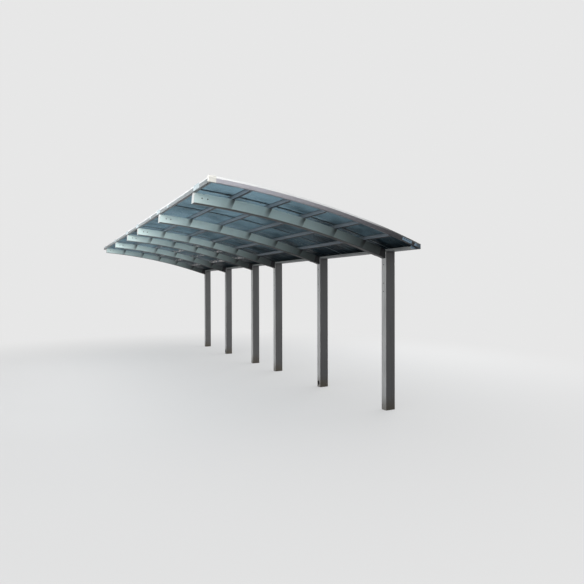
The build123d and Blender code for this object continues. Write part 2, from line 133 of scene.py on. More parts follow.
# Front corner caps and rear corner plates
CAP_LENGTH = 0.088
CAP_PROUD = 0.0015
CAP_BASE = 0.01
REAR_PLATE_REACH = 0.187
REAR_PLATE_THICKNESS = 0.003

# Radii of rounded edges
EDGE_EASE = 0.0005
CORNER_EASE = 0.002
BEAM_CORNER = 0.004
BAR_CAP_ROUND = 0.002
GABLE_SHOULDER_ROUND = 0.008
SEAL_ROUND = 0.001
CAP_ROUND = 0.01
CAP_EASE = 0.002
END_CAP_EASE = 0.0018
PLATE_EASE = 0.0015

# Fixings: places along X, or heights, and the size of their heads
BOLT_PLACES = (-2.809, -2.739)
BOLT_LEVEL = -0.058
BOLT_RADIUS = 0.0085
POST_SCREW_HEIGHTS = (2.12, 1.85, 1.73)
POST_SCREW_RADIUS = 0.0075
PLATE_SCREW_STEPS = (0.03, 0.062, 0.094, 0.126)
PLATE_SCREW_LEVEL = 0.045
PLATE_SCREW_RADIUS = 0.0075
HEAD_HEIGHT = 0.0025
HEAD_SIDES = 12
HEAD_TOP_SHARE = 0.7

# Dry litter: flakes to a square metre, and their smallest and largest size. OUTLET_POST is the
# post of each module, counted from 0, that carries the gutter's rain outlet.
ROOF_LITTER = (420.0, 0.003, 0.01)
BAR_LITTER = (1500.0, 0.0025, 0.0075)
GUTTER_LITTER = (240.0, 0.004, 0.013)
LITTER_SEED = 7
SPIN_SEED = 1
FLAKE_SIDES = 6
FLAKE_TOP_SHARE = 0.4
FLAKE_DEPTH = 0.3
FLAKE_STRETCH = (1.7, 1.0, 0.6)
ROOF_LITTER_WIDTH = 0.04
BAR_LITTER_WIDTH = 0.018
ROOF_LITTER_START = EAVE_DEPTH + 0.1
ROOF_LITTER_STEP = 0.1
ROOF_LITTER_STEPS = 29
LITTER_MARGIN = 0.026
OUTLET_CLEAR = 0.055
GUTTER_WALL = 0.003
OUTLET_POST = 1

# Steps of round shapes
ARC_STEPS = 72
CORNER_STEPS = 4
SHARP_EDGE = math.radians(35)
SHOULDER_EDGE = math.radians(24)
FLAT_EDGE = math.radians(0.5)
BEVEL_STEPS = 3
MERGE = 1e-6

# Camera, solved from the photograph: metres and degrees
CAMERA_PLACE = Vector((-4.4876, -5.55, 1.7769))
CAMERA_YAW = math.radians(27.5542)
CAMERA_PITCH = math.radians(-0.4299)
CAMERA_ROLL = math.radians(-0.1207)
CAMERA_LENS = 29.4
CAMERA_SENSOR = 36

# Light of the world, by height above the horizon
SKY_COLOUR = (0.93, 0.97, 1.0)
SKY_LEVEL = 0.9
SKY_RISE = (0.3, 0.9)
HORIZON_LEVEL = 0.12

# Row of lamps before the open front, one to a post and each weaker than the one before
FRONT_LIGHT_OFFSET = Vector((-5.3, -3.1, 3.5))
FRONT_LIGHT_AIM = Vector((0.55, 0.83, -0.18))
FRONT_LIGHT_SIZE = (2.4, 2.4)
FRONT_LIGHT_ENERGY = 67
FRONT_LIGHT_STEP = 2.5

# Single lamps: place, aim, size and energy
LAMPS = {
    "front_light_wide": ((-6.4, 4.5, 3.2), (0, 4.5, 2.2), (14, 2.8), 70),
    "gable_light": ((-3.2, -4.0, 4.2), (-1.6, -0.6, 2.9), (3, 1.2), 29),
    "rear_light": ((8.0, 4.3, 4.5), (0, 4.3, 1.5), (12, 4), 800),
}

# Backdrop and floor: the camera sees both at one level, where 1 is white, and the floor fades into
# the backdrop between two distances from its middle
WHITE = (1, 1, 1)
BACKDROP_LEVEL = 0.8
FLOOR_REACH = 60
FLOOR_MIDDLE = (-1.4, 4.3)
FLOOR_FADE = (3.0, 10.0)
FLOOR_LIT = (0.14, 0.14, 0.14, 1)
FLOOR_SEEN = (0.5, 0.5, 0.5, 1)
FLOOR_ROUGHNESS = 0.9


def turn_at(x):
    """Turn from upright, about the roof's centre, of the beam top at this X."""
    return math.asin((x - ARC_X) / BEAM_RADIUS)


def turn_along(distance):
    """Turn of a place this far along the beam top, counted from the front edge."""
    return FRONT_SLOPE + distance / BEAM_RADIUS


def along_at(x):
    """Distance along the beam top from the front edge to this X."""
    return (turn_at(x) - FRONT_SLOPE) * BEAM_RADIUS


def roof_point(turn, height):
    """X and Z of a place this high above the beam top, square to the roof."""
    radius = BEAM_RADIUS + height
    return ARC_X + radius * math.sin(turn), ARC_Z + radius * math.cos(turn)


PURLIN_PITCH = (along_at(POST_FRONT) - LAST_STRIP) / PURLIN_COUNT
ROOF_END = turn_at(POST_FRONT + SHEET_OVERHANG)
GABLE_END = turn_at(POST_FRONT + GABLE_OVERHANG)


def linear(red, green, blue):
    """Colour of a shader from the three numbers, 0 to 255, that a screen shows."""

    def one(level):
        share = level / 255
        return share / 12.92 if share <= 0.04045 else ((share + 0.055) / 1.055) ** 2.4

    return one(red), one(green), one(blue), 1.0


class Value:
    """A number of a node tree that can stand in sums like a plain one."""

    def __init__(self, net, socket):
        self.net = net
        self.socket = socket

    def __add__(self, other):
        return self.net.sum("ADD", self, other)

    def __sub__(self, other):
        return self.net.sum("SUBTRACT", self, other)

    def __mul__(self, other):
        return self.net.sum("MULTIPLY", self, other)

    def __truediv__(self, other):
        return self.net.sum("DIVIDE", self, other)

    def __pow__(self, other):
        return self.net.sum("POWER", self, other)

    def __abs__(self):
        return self.net.sum("ABSOLUTE", self)

    def least(self, other):
        return self.net.sum("MINIMUM", self, other)

    def most(self, other):
        return self.net.sum("MAXIMUM", self, other)

    def rise(self, low, high):
        """0 below low, 1 above high and a smooth slope between; falls where high is the lower."""
        made = self.net.node(
            "ShaderNodeMapRange",
            {"interpolation_type": "SMOOTHSTEP"},
            {"Value": self, "From Min": low, "From Max": high},
        )
        return Value(self.net, made.outputs[0])


class Net:
    """A node tree built by plain calls."""

    def __init__(self, tree):
        self.tree = tree

    def feed(self, socket, value):
        """Link a value to a socket, or set a plain one on it."""
        source = value.socket if isinstance(value, Value) else value
        if isinstance(source, bpy.types.NodeSocket):
            self.tree.links.new(source, socket)
        else:
            socket.default_value = source

    def node(self, kind, settings=(), sockets=()):
        """Add a node: first its settings, then a value or link for each socket."""
        made = self.tree.nodes.new(kind)
        for name, setting in dict(settings).items():
            setattr(made, name, setting)
        for key, value in dict(sockets).items():
            self.feed(made.inputs[key], value)
        return made

    def sum(self, operation, *values):
        made = self.node("ShaderNodeMath", {"operation": operation}, dict(enumerate(values)))
        return Value(self, made.outputs[0])

    def vector(self, x, y, z):
        return self.node("ShaderNodeCombineXYZ", sockets={0: x, 1: y, 2: z}).outputs[0]

    def blend(self, share, first, second):
        """Shader between two shaders."""
        return self.node("ShaderNodeMixShader", sockets={0: share, 1: first, 2: second}).outputs[0]

    def glow(self, kind, colour, strength):
        """Emission or background shader of this colour and strength."""
        return self.node(kind, sockets={"Color": (*colour, 1), "Strength": strength}).outputs[0]


class Finish(Net):
    """One material, built up in layers of colour. Its patterns are in the object's own metres."""

    def __init__(self, name, colour):
        self.painted = colour
        self.material = bpy.data.materials.new(name)
        self.material.use_nodes = True
        super().__init__(self.material.node_tree)
        self.shader = self.tree.nodes["Principled BSDF"]
        self.shader.inputs["Specular IOR Level"].default_value = 0.22
        self.place = self.node("ShaderNodeTexCoord").outputs["Object"]
        split = self.node("ShaderNodeSeparateXYZ", sockets={0: self.place})
        self.x, self.y, self.z = [Value(self, socket) for socket in split.outputs]
        facing = self.node("ShaderNodeNewGeometry").outputs["Normal"]
        split = self.node("ShaderNodeSeparateXYZ", sockets={0: facing})
        self.facing_x, self.facing_y, self.facing_z = [Value(self, socket) for socket in split.outputs]

    def stretched(self, stretch):
        return self.node("ShaderNodeMapping", sockets={"Vector": self.place, "Scale": stretch}).outputs[0]

    def noise(self, scale, stretch=(1, 1, 1), detail=3.0, roughness=0.55):
        made = self.node(
            "ShaderNodeTexNoise",
            sockets={
                "Vector": self.stretched(stretch),
                "Scale": scale,
                "Detail": detail,
                "Roughness": roughness,
            },
        )
        return Value(self, made.outputs[0])

    def cells(self, scale, stretch=(1, 1, 1)):
        """Distance to the nearest of many scattered points, in cells."""
        sockets = {"Vector": self.stretched(stretch), "Scale": scale}
        made = self.node("ShaderNodeTexVoronoi", {"feature": "F1"}, sockets)
        return Value(self, made.outputs["Distance"])

    def mix(self, share, first, second):
        """Colour between two colours."""
        made = self.node("ShaderNodeMix", {"data_type": "RGBA"})
        self.feed(made.inputs[0], share)
        self.feed(made.inputs[6], first)
        self.feed(made.inputs[7], second)
        return made.outputs[2]

    def layer(self, share, colour):
        """Lay this share of a colour over what is painted so far."""
        self.painted = self.mix(share, self.painted, colour)

    def wave(self, height, depth):
        """Bump of this depth in metres from a height between 0 and 1."""
        made = self.node("ShaderNodeBump", sockets={"Strength": 1.0, "Distance": depth, "Height": height})
        self.feed(self.shader.inputs["Normal"], made.outputs[0])

    def paint(self, roughness, metallic=0.0):
        """Set the coat and hand back the material."""
        self.feed(self.shader.inputs["Base Color"], self.painted)
        self.feed(self.shader.inputs["Roughness"], roughness)
        self.feed(self.shader.inputs["Metallic"], metallic)
        return self.material

    def cover(self, shader):
        """Show this shader instead of the plain coat, and hand back the material."""
        self.feed(self.tree.nodes["Material Output"].inputs[0], shader)
        return self.material

    def coat(self, roughness):
        """Set a powder coat with its fine unevenness and hand back the material."""
        self.wave(self.noise(900.0, detail=2.0), 0.0001)
        return self.paint(roughness, COAT_METALLIC)


class Shape(Net):
    """A Geometry Nodes tree with named inputs, which ends in real geometry of one material."""

    def __init__(self, name, inputs):
        super().__init__(bpy.data.node_groups.new(name, "GeometryNodeTree"))
        face = self.tree.interface
        face.new_socket("Geometry", in_out="OUTPUT", socket_type="NodeSocketGeometry")
        for label, kind in {"Geometry": "Geometry", **inputs, "Material": "Material"}.items():
            face.new_socket(label, in_out="INPUT", socket_type="NodeSocket" + kind)
        self.given = self.node("NodeGroupInput").outputs

    def first(self, kind, settings=(), sockets=()):
        """First output of a new node."""
        return self.node(kind, settings, sockets).outputs[0]

    def real(self, geometry):
        return self.first("GeometryNodeRealizeInstances", sockets={"Geometry": geometry})

    def copies(self, points, instance, **turned):
        """The instance on each point, turned and scaled by sockets of these names."""
        sockets = {"Points": points, "Instance": instance, **turned}
        return self.first("GeometryNodeInstanceOnPoints", sockets=sockets)

    def end(self, geometry):
        sockets = {"Geometry": self.real(geometry), "Material": self.given["Material"]}
        painted = self.first("GeometryNodeSetMaterial", sockets=sockets)
        self.node("NodeGroupOutput", sockets={0: painted})

    def random(self, low, high, seed):
        """A number between two for each point."""
        made = self.node("FunctionNodeRandomValue", {"data_type": "FLOAT"}, {2: low, 3: high, "Seed": seed})
        return Value(self, made.outputs[1])

    def identifier(self, label):
        for item in self.tree.interface.items_tree:
            if item.item_type == "SOCKET" and item.in_out == "INPUT" and item.name == label:
                return item.identifier
        raise KeyError(label)

    def row(self):
        """Points along the row: so many to a module, at one pitch."""
        modules = self.first(
            "GeometryNodeMeshLine",
            sockets={
                "Count": self.given["Modules"],
                "Start Location": (0, 0, 0),
                "Offset": self.vector(0, self.given["Module Length"], 0),
            },
        )
        within = self.first(
            "GeometryNodeMeshLine",
            sockets={
                "Count": self.given["Per Module"],
                "Start Location": self.vector(0, self.given["First"], 0),
                "Offset": self.vector(0, self.given["Pitch"], 0),
            },
        )
        return self.real(self.copies(modules, within))

    def section(self):
        """The base mesh's closed outlines as curves, each corner rounded by its own radius."""
        outline = self.first("GeometryNodeMeshToCurve", sockets={"Mesh": self.given["Geometry"]})
        return self.first(
            "GeometryNodeFilletCurve",
            {"mode": "POLY"},
            {
                "Curve": outline,
                "Count": self.given["Corner Steps"],
                "Radius": self.stored("rounding", "FLOAT"),
                "Limit Radius": True,
            },
        )

    def stored(self, name, kind):
        """What the base mesh keeps under this name for each point."""
        return self.first("GeometryNodeInputNamedAttribute", {"data_type": kind}, {"Name": name})

    def swept(self, path):
        """The section along a path, repeated along the row."""
        sockets = {"Curve": path, "Profile Curve": self.section(), "Fill Caps": True}
        bar = self.first("GeometryNodeCurveToMesh", sockets=sockets)
        bar = self.first("GeometryNodeSetShadeSmooth", sockets={0: bar, "Shade Smooth": True})
        return self.copies(self.row(), bar)


ROW_INPUTS = {
    "Modules": "Int",
    "Module Length": "Float",
    "Per Module": "Int",
    "Pitch": "Float",
    "First": "Float",
}


def arched_tree():
    """Section swept along the roof's curve and repeated along the row."""
    shape = Shape(
        "arched_section",
        {
            "Radius": "Float",
            "Centre": "Vector",
            "From": "Float",
            "Sweep": "Float",
            "Steps": "Int",
            "Corner Steps": "Int",
            **ROW_INPUTS,
        },
    )
    arc = shape.first(
        "GeometryNodeCurveArc",
        {"mode": "RADIUS"},
        {
            "Resolution": shape.given["Steps"],
            "Radius": shape.given["Radius"],
            "Start Angle": shape.given["From"],
            "Sweep Angle": shape.given["Sweep"],
        },
    )
    sockets = {"Geometry": arc, "Translation": shape.given["Centre"], "Rotation": (math.pi / 2, 0, 0)}
    shape.end(shape.swept(shape.first("GeometryNodeTransform", sockets=sockets)))
    return shape


def straight_tree():
    """Section swept along a straight line and repeated along the row."""
    inputs = {"Start": "Vector", "End": "Vector", "Corner Steps": "Int", **ROW_INPUTS}
    shape = Shape("straight_section", inputs)
    sockets = {label: shape.given[label] for label in ("Start", "End")}
    shape.end(shape.swept(shape.first("GeometryNodeCurvePrimitiveLine", sockets=sockets)))
    return shape


def heads_tree():
    """Low round heads on given places, each one facing out of the surface it sits on."""
    shape = Shape("round_heads", {"Radius": "Float", "Height": "Float", "Sides": "Int"})
    radius = Value(shape, shape.given["Radius"])
    head = shape.first(
        "GeometryNodeMeshCone",
        sockets={
            "Vertices": shape.given["Sides"],
            "Radius Top": radius * HEAD_TOP_SHARE,
            "Radius Bottom": radius,
            "Depth": shape.given["Height"],
        },
    )
    facing = {"Vector": shape.stored("facing", "FLOAT_VECTOR")}
    turned = shape.first("FunctionNodeAlignRotationToVector", {"axis": "Z"}, facing)
    shape.end(shape.copies(shape.given["Geometry"], head, Rotation=turned))
    return shape


def flakes_tree():
    """Dry flakes strewn over a surface by a fixed seed, flat on it and turned at random."""
    inputs = {"Density": "Float", "Seed": "Int", "Smallest": "Float", "Largest": "Float"}
    shape = Shape("strewn_flakes", inputs)
    given = shape.given
    sockets = {"Mesh": given["Geometry"], "Density": given["Density"], "Seed": given["Seed"]}
    spots = shape.node("GeometryNodeDistributePointsOnFaces", sockets=sockets).outputs
    flake = shape.first(
        "GeometryNodeMeshCone",
        sockets={
            "Vertices": FLAKE_SIDES,
            "Radius Top": FLAKE_TOP_SHARE,
            "Radius Bottom": 1.0,
            "Depth": FLAKE_DEPTH,
        },
    )
    size = shape.random(given["Smallest"], given["Largest"], given["Seed"])
    spin = shape.vector(0, 0, shape.random(0.0, 2 * math.pi, SPIN_SEED))
    spin = shape.first("FunctionNodeEulerToRotation", sockets={0: spin})
    sockets = {"Rotation": spots["Rotation"], "Rotate By": spin}
    turned = shape.first("FunctionNodeRotateRotation", {"rotation_space": "LOCAL"}, sockets)
    scale = shape.vector(*[size * share for share in FLAKE_STRETCH])
    shape.end(shape.copies(spots["Points"], flake, Rotation=turned, Scale=scale))
    return shape


def outline_mesh(loops):
    """Mesh of closed outlines from corners (across, up, rounding), as the trees take them."""
    mesh = bpy.data.meshes.new("outline")
    points = []
    edges = []
    rounding = []
    for loop in loops:
        first = len(points)
        for number, (across, up, radius) in enumerate(loop):
            points.append((across, up, 0))
            rounding.append(radius)
            edges.append((first + number, first + (number + 1) % len(loop)))
    mesh.from_pydata(points, edges, [])
    mesh.attributes.new("rounding", "FLOAT", "POINT").data.foreach_set("value", rounding)
    return mesh


def in_scene(name, data):
    """New object in the scene, of a mesh, a lamp or a camera."""
    made = bpy.data.objects.new(name, data)
    bpy.context.scene.collection.objects.link(made)
    return made


def applied(rough):
    """Plain mesh of a rough object with its modifiers applied; the object itself goes."""
    bpy.context.view_layer.update()
    graph = bpy.context.evaluated_depsgraph_get()
    mesh = bpy.data.meshes.new_from_object(
        rough.evaluated_get(graph), preserve_all_data_layers=True, depsgraph=graph
    )
    bpy.data.objects.remove(rough)
    return mesh


def grown(shape, name, base, sizes, finish):
    """Plain mesh of what a tree makes from a base mesh with these sizes and this finish."""
    rough = in_scene(name, base)
    modifier = rough.modifiers.new("shape", "NODES")
    modifier.node_group = shape.tree
    for label, value in {**sizes, "Material": FINISHES[finish]}.items():
        modifier[shape.identifier(label)] = value
    return applied(rough)


def opened(mesh):
    """A mesh open for changes, with the points that touch merged."""
    work = bmesh.new()
    work.from_mesh(mesh)
    bmesh.ops.remove_doubles(work, verts=work.verts, dist=MERGE)
    return work


def closed(work, mesh):
    """The mesh with the changes written back."""
    work.to_mesh(mesh)
    work.free()
    return mesh


def settled(mesh):
    """Merge what touches, turn all faces outwards and keep hard edges hard."""
    work = opened(mesh)
    bmesh.ops.recalc_face_normals(work, faces=work.faces)
    for face in work.faces:
        face.smooth = True
    for edge in work.edges:
        edge.smooth = len(edge.link_faces) == 2 and edge.calc_face_angle() < SHARP_EDGE
    return closed(work, mesh)


def piece(name, mesh, replaced=()):
    """Object of the carport from a mesh, evenly shaded and the CAD nodes it replaces."""
    rough = in_scene(name + "_rough", settled(mesh))
    weighted = rough.modifiers.new("even", "WEIGHTED_NORMAL")
    weighted.keep_sharp = True
    made = in_scene(name, applied(rough))
    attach(made, BODY)
    if replaced:
        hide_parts(*replaced)


def row_of(per_module, pitch, first, modules=MODULES):
    """Sizes of a row of copies: so many to a module, at one pitch, from the first one's place."""
    return {
        "Modules": modules,
        "Module Length": MODULE_LENGTH,
        "Per Module": per_module,
        "Pitch": pitch,
        "First": first,
    }


ONE = row_of(1, 0.0, 0.0, modules=1)
BAR_ROW = row_of(BARS_PER_MODULE, BAR_PITCH, NEAR_GABLE + BAR_OVERHANG)


def arched(name, loops, start, end, row, finish, replaced=()):
    """Piece of sections, given as (Y, height above the beam top, rounding), along the roof's curve."""
    turned = [[(-y, -height, radius) for y, height, radius in loop] for loop in loops]
    sizes = {
        "Radius": BEAM_RADIUS,
        "Centre": (ARC_X, 0, ARC_Z),
        "From": math.pi / 2 - start,
        "Sweep": start - end,
        "Steps": ARC_STEPS,
        "Corner Steps": CORNER_STEPS,
        **row,
    }
    piece(name, grown(ARCHED, name, outline_mesh(turned), sizes, finish), replaced)


def straight(name, loops, low_y, high_y, finish):
    """Mesh of sections, given as (X, Z, rounding), along the row."""
    turned = [[(x, -z, radius) for x, z, radius in loop] for loop in loops]
    sizes = {"Start": (0, low_y, 0), "End": (0, high_y, 0), "Corner Steps": CORNER_STEPS, **ONE}
    return grown(STRAIGHT, name, outline_mesh(turned), sizes, finish)


def numbered(name, count):
    """Names of like nodes, counted from 1."""
    return [f"{name}_{number}" for number in range(1, count + 1)]


def joined(meshes):
    """One mesh of several that share a material."""
    work = bmesh.new()
    for mesh in meshes:
        work.from_mesh(mesh)
    whole = bpy.data.meshes.new("joined")
    for material in meshes[0].materials:
        whole.materials.append(material)
    return closed(work, whole)


def on_roof(outline):
    """Corners given as (distance along the roof, height above the beam top, rounding), as X and Z."""
    return [(*roof_point(turn_along(distance), height), radius) for distance, height, radius in outline]


def rectangle(one_side, other_side, low, high, rounding):
    """Outline between two places across, in either order, and two heights."""
    near, far = sorted((one_side, other_side))
    return [(near, low, rounding), (far, low, rounding), (far, high, rounding), (near, high, rounding)]


def heads(name, places, radius):
    """Black screw or bolt heads at given places, each with the way it faces."""
    base = bpy.data.meshes.new("places")
    base.from_pydata([place for place, facing in places], [], [])
    facings = [level for place, facing in places for level in facing]
    base.attributes.new("facing", "FLOAT_VECTOR", "POINT").data.foreach_set("vector", facings)
    sizes = {"Radius": radius, "Height": HEAD_HEIGHT, "Sides": HEAD_SIDES}
    piece(name, grown(HEADS, name, base, sizes, "head"))


def strips(patches):
    """Base mesh of quad strips, each given as two edges of equally many points."""
    points = []
    quads = []
    for left, right in patches:
        first = len(points)
        for pair in zip(left, right):
            points.extend(pair)
        quads += [(n, n + 1, n + 3, n + 2) for n in range(first, len(points) - 3, 2)]
    mesh = bpy.data.meshes.new("strips")
    mesh.from_pydata(points, [], quads)
    return mesh


def flakes(name, base, density, smallest, largest):
    """Litter on a base mesh: so many flakes to a square metre, between two sizes."""
    sizes = {"Density": density, "Seed": LITTER_SEED, "Smallest": smallest, "Largest": largest}
    piece(name, grown(FLAKES, name, base, sizes, "litter"))


def bevelled(name, mesh, width, sharpest):
    """Mesh with the edges that turn by more than an angle rounded by this width."""
    rough = in_scene(name, mesh)
    bevel = rough.modifiers.new("edges", "BEVEL")
    bevel.width = width
    bevel.segments = BEVEL_STEPS
    bevel.limit_method = "ANGLE"
    bevel.angle_limit = sharpest
    return applied(rough)


def eased(node, finish, width):
    """A CAD node of pale plastic again, with its sharp edges rounded by this much."""
    source = frame["nodes"][node]
    mesh = source.data.copy()
    mesh.transform(source.matrix_world)
    mesh.materials.clear()
    mesh.materials.append(FINISHES[finish])
    work = opened(mesh)
    bmesh.ops.dissolve_limit(work, angle_limit=FLAT_EDGE, verts=work.verts, edges=work.edges)
    mesh = bevelled(node + "_rough", closed(work, mesh), width, SHARP_EDGE)
    piece(node + "_eased", mesh, [node])


ARCHED = arched_tree()
STRAIGHT = straight_tree()
HEADS = heads_tree()
FLAKES = flakes_tree()

# Finishes

COAT_METALLIC = 0.04
GRIME = linear(62, 58, 50)
DUST = linear(158, 154, 144)


def shaded(colour, share):
    """The same colour, darker by this share."""
    return tuple(level * share for level in colour[:3]) + (1.0,)


def weathered(name, colour, grain, dirt):
    """Start a finish of uneven tone, with runs along the grain, specks, and a film on what faces up."""
    finish = Finish(name, shaded(colour, 0.9))
    tone = finish.noise(1.1, detail=2.0).rise(0.35, 0.65)
    runs = finish.noise(5.0, grain, 4.0, 0.6).rise(0.46, 0.74)
    specks = finish.noise(70.0, detail=4.0, roughness=0.7).rise(0.56, 0.72)
    grime = (runs * 0.65 + specks * 0.35) * dirt
    film = finish.facing_z.rise(0.6, 0.98) * finish.noise(14.0, detail=5.0, roughness=0.65).rise(0.35, 0.7)
    finish.layer(tone, colour)
    finish.layer(grime, GRIME)
    finish.layer(film * 0.5, DUST)
    return finish, grime, film


def drawn_coating(name, colour, dirt, under=None):
    """Satin coat on a section drawn along X: fine orange peel over faint lines along its length."""
    finish, grime, film = weathered(name, colour, (0.4, 6, 6), dirt)
    if under:
        finish.layer(finish.facing_z.rise(-0.55, -0.9) * 0.85, under)
    lines = finish.noise(1.0, (0.4, 260, 260), 2.0)
    finish.wave(finish.noise(900.0, detail=2.0) * 0.4 + lines * 0.6, 0.00012)
    return finish.paint(grime * 0.3 + film * 0.25 + 0.46, COAT_METALLIC)


def roof_places(finish):
    """Distance along the roof from the front edge and height above the beam top, in metres."""
    across = finish.x - ARC_X
    up = finish.z - ARC_Z
    along = (finish.sum("ARCTAN2", across, up) - FRONT_SLOPE) * BEAM_RADIUS
    above = (across * across + up * up) ** 0.5 - BEAM_RADIUS
    return along, above


def past_purlin(finish, along):
    """Distance along the roof past the nearest purlin, below 0 before it."""
    number = finish.sum("ROUND", along / PURLIN_PITCH).most(1).least(PURLIN_COUNT)
    return along - number * PURLIN_PITCH


def beam_coating():
    """Silver coat with a painted green cast of light through the sheets, painted shadow behind each purlin,
    and painted shade towards the posts and on the underside.
    """
    # The green in this coat is a painted cast of the light that comes through the tinted sheets.
    finish, grime, film = weathered("beam_coating", linear(208, 226, 224), (1, 1, 1), 0.16)
    along, above = roof_places(finish)
    # Painted shadow of each purlin on the beams' sides: a band that leans forward as it goes down, with a
    # soft ramp of painted shade before it.
    past = past_purlin(finish, along - above * 0.3) + finish.noise(18.0) * 0.01
    purlin_shadow = past.rise(-0.06, 0.012) * past.rise(0.036, 0.022) * (above + 0.13).rise(-0.04, 0.12)
    purlin_shade_ramp = past.rise(-0.26, 0.0) * past.rise(0.036, 0.022)
    finish.layer(purlin_shade_ramp * 0.16 + purlin_shadow * 0.74, linear(60, 62, 64))
    # Painted shade: the beams darken towards the posts.
    finish.layer(along.rise(1.4, 2.85) * 0.9, linear(46, 45, 45))
    # Painted shade: a dark underside and a thin dark line along the sides' bottom edge.
    under = finish.facing_z.rise(-0.3, -0.8).most((above + BEAM_DEPTH).rise(0.009, 0.004) * 0.6)
    finish.layer(under, linear(30, 30, 32))
    return finish.coat(grime * 0.3 + film * 0.25 + purlin_shadow * 0.15 + 0.46)


def gable_coating():
    """The edge profiles' coat: a painted white highlight on the shoulder, silver below it, and painted shade
    on both towards the rear.
    """
    finish, grime, film = weathered("gable_coating", linear(198, 196, 203), (0.4, 1, 6), 0.16)
    along, above = roof_places(finish)
    # Painted shade: the coat darkens towards the rear.
    rear = along.rise(0.2, 3.1)
    finish.layer(rear * 0.96, linear(58, 58, 60))
    # Painted highlight: the shoulder is white at the front and turns to painted shade, near black, towards
    # the rear.
    shoulder = finish.mix(along.rise(1.95, 2.55) * 0.97, linear(238, 238, 237), linear(46, 47, 48))
    over_band = above - (GABLE_HEIGHT - GABLE_SHOULDER_HEIGHT)
    finish.layer(over_band.rise(-0.0005, 0.001), shoulder)
    return finish.coat(grime * 0.3 + film * 0.2 + 0.42)


def post_coating():
    """Posts: neutral grey with faint upright runs, painted shade on their sides, and splashed near the
    ground.
    """
    finish, grime, _ = weathered("post_coating", linear(190, 190, 190), (5, 5, 0.35), 0.3)
    ragged = finish.noise(22.0, (1, 1, 0.5), 4.0) * 0.16
    splash = (finish.z + ragged).rise(0.34, 0.06)
    # Painted shade on the posts' side faces.
    finish.layer(abs(finish.facing_y).rise(0.5, 0.9) * 0.82, linear(66, 65, 66))
    finish.layer(splash * 0.65, linear(92, 84, 70))
    return finish.coat(grime * 0.3 + splash * 0.3 + 0.46)


def purlin_coating():
    """Purlins: a blue grey with painted light, paler, towards the rear, painted shade on the underside, and
    pale streaks in the far bays.
    """
    finish, grime, film = weathered("purlin_coating", linear(132, 143, 152), (6, 0.4, 6), 0.3)
    along, _ = roof_places(finish)
    # Painted light: the purlins grow paler towards the rear.
    finish.layer(along.rise(0.4, 2.4) * 0.5, linear(140, 147, 154))
    # Painted shade: the underside is near black, darker still towards the rear.
    under = finish.facing_z.rise(-0.5, -0.85)
    underside_shade = finish.mix(along.rise(0.4, 2.4), linear(26, 27, 31), linear(20, 20, 23))
    finish.layer(under, underside_shade)
    droppings = finish.noise(7.0, detail=5.0, roughness=0.7).rise(0.42, 0.58) * finish.y.rise(3.5, 4.1)
    droppings = droppings * finish.facing_x.rise(-0.5, -0.9) * along.rise(0.8, 1.3)
    finish.layer(droppings * 0.9, linear(250, 243, 241))
    return finish.coat(grime * 0.3 + film * 0.2 + 0.46)


def tinted_sheet():
    """Clear tinted sheet, darker to the rear by dirt and painted shade: water runs, blotches, specks and, in
    the far bays, drifts.
    """
    finish = Finish("tinted_sheet", linear(84, 116, 132))
    along, _ = roof_places(finish)
    # Darker and more solid towards the rear: partly dirt, partly painted shade.
    age = along.rise(0.3, 2.9)
    blotch = finish.noise(1.7, (0.8, 1.2, 1), 5.0, 0.62).rise(0.42, 0.68)
    runs = finish.noise(7.0, (0.3, 2.6, 0.3), 4.0, 0.6).rise(0.5, 0.72)
    specks = finish.cells(26.0).rise(0.16, 0.06) * finish.noise(3.0).rise(0.48, 0.62)
    smudges = finish.noise(8.0, (0.6, 1.5, 1), 6.0, 0.75).rise(0.62, 0.7)
    spots = finish.cells(4.2, (1, 1.6, 1)) + finish.noise(24.0, detail=4.0, roughness=0.7) * 0.16
    marks = (smudges * 0.6).most(spots.rise(0.15, 0.08))
    finish.layer(age, linear(40, 52, 60))
    finish.layer(blotch * 0.35, linear(44, 58, 66))
    finish.layer(runs * 0.3, linear(142, 166, 172))
    finish.layer(finish.facing_z.rise(0.2, 0.8) * 0.7, linear(128, 146, 154))
    finish.layer(specks * 0.8, linear(48, 44, 34))
    finish.layer(marks * 0.8, linear(206, 206, 196))
    drifts = finish.noise(6.0, (1, 1.4, 1), 6.0, 0.75).rise(0.5, 0.6) * finish.y.rise(3.5, 4.1)
    drifts = drifts * abs(past_purlin(finish, along)).rise(0.13, 0.03) * along.rise(0.8, 1.3)
    drifts = drifts * finish.facing_z.rise(0.1, -0.1)
    finish.layer(drifts * 0.9, linear(250, 243, 241))
    shade = along.rise(2.35, 2.95) * 0.12 + finish.y.rise(NEAR_GABLE + 0.3, NEAR_GABLE + 1.5) * 0.05
    solid = age * 0.31 + blotch * 0.16 + runs * 0.16 + specks * 0.4 + marks * 0.5
    solid = solid + drifts * 0.5 + shade + 0.04
    gloss = Value(finish, finish.node("ShaderNodeFresnel", sockets={"IOR": 1.58}).outputs[0])
    finish.wave(finish.noise(2.2, detail=2.0), 0.002)
    finish.shader.inputs["Specular IOR Level"].default_value = 0.08
    hazed = finish.facing_z.rise(0.1, -0.1) * 0.24
    finish.paint((hazed + blotch * 0.1 + specks * 0.3 + 0.14).least(0.75))
    clear = finish.node("ShaderNodeBsdfTransparent", sockets={"Color": (0.7, 0.87, 0.95, 1)}).outputs[0]
    return finish.cover(finish.blend((solid + gloss * 0.5).least(1), clear, finish.shader.outputs[0]))


